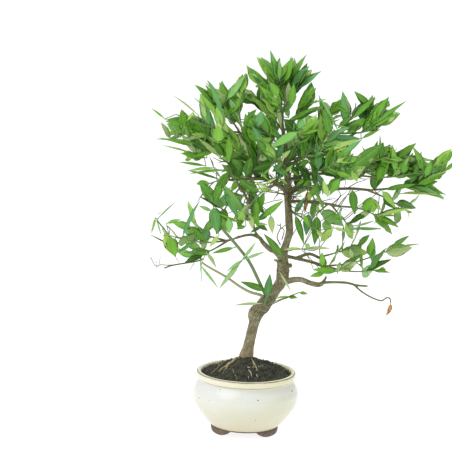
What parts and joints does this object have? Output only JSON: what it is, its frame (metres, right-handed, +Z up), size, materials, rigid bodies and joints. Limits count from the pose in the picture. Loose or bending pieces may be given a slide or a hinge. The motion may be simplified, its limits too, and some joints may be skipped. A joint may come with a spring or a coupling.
{
  "type": "limequat bonsai",
  "caption": "Small citrus tree with a leaning trunk and an open leafy crown, rooted in a round glazed pot on feet.",
  "frame": {"origin": "middle of the whole plant's bounding box, at the height of the surface that the pot's feet rest on", "axes": "+Z up, +X to the viewer's right and +Y away from the viewer, seen from the side the plant is shown from"},
  "size_m": [0.4232, 0.2412, 0.5472],
  "materials": {
    "glaze": "cream white gloss glaze over a brown body",
    "soil": "moist crumbly dark potting soil",
    "bark": "finely fissured grey-brown bark",
    "leaf": "glossy green leaf blade on a green stem",
    "dry_leaf": "dry curled tan leaf"
  },
  "bodies": {
    "root": {"pot": "glaze", "soil": "soil", "trunk": "bark", "cut_shoot": "leaf", "long_shoot": "leaf", "trunk_tuft": "leaf", "bright_leaf": "leaf", "apex_top": "leaf", "apex_left": "leaf", "apex_right": "leaf", "apex_back": "leaf", "apex_front": "leaf", "apex_low_right": "leaf", "apex_low_left": "leaf", "north_west_tip": "leaf", "north_west_high": "leaf", "west_high": "leaf", "west_mid": "leaf", "west_low": "leaf", "north_west_back": "leaf", "north_west_front": "leaf", "crown_front_left": "leaf", "crown_front_right": "leaf", "crown_front": "leaf", "crown_back_left": "leaf", "crown_back_right": "leaf", "crown_back": "leaf", "east_top": "leaf", "east_top_far": "leaf", "east_top_low": "leaf", "east_top_near": "leaf", "east_high": "leaf", "east_high_far": "leaf", "east_tip": "leaf", "east_low": "leaf", "east_drop": "leaf", "east_drop_near": "leaf", "east_drop_low": "leaf", "east_back": "leaf", "east_front": "leaf", "inner_high": "leaf", "inner_right": "leaf", "inner_mid": "leaf", "inner_left": "leaf", "inner_low": "leaf", "centre_front": "leaf", "centre_back": "leaf", "south_east_high": "leaf", "south_east_tip": "leaf", "south_east_low": "leaf", "south_east_front": "leaf", "west_inner": "leaf", "west_hang": "leaf", "west_hang_near": "leaf", "west_hang_back": "leaf", "back_left": "leaf", "south_west_high": "leaf", "south_west_low": "leaf", "south_west_fine": "leaf", "dry_leaf": "dry_leaf"}
  },
  "joints": []
}
